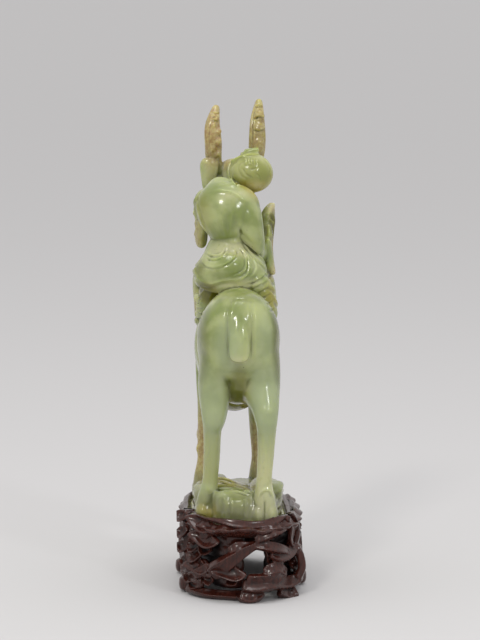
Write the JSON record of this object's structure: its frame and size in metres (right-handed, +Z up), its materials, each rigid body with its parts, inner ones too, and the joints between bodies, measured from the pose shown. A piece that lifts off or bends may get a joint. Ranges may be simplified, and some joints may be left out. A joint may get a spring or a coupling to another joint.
{
  "type": "carved jade figure of a rider on a stag",
  "caption": "Translucent green jade carving of a robed rider on a walking stag, standing on an openwork carved hardwood stand.",
  "frame": {"origin": "on the floor, under the middle of the bounding box of the figure and its stand", "axes": "+Z up, +Y the way the stag walks, +X the stag's and the rider's right side"},
  "size_m": [0.066, 0.112, 0.2432],
  "materials": {
    "jade": "waxy polish, translucent",
    "rosewood": "dark oiled gloss"
  },
  "bodies": {
    "root": {"rider_on_stag": "jade", "stand": "rosewood"}
  },
  "joints": []
}
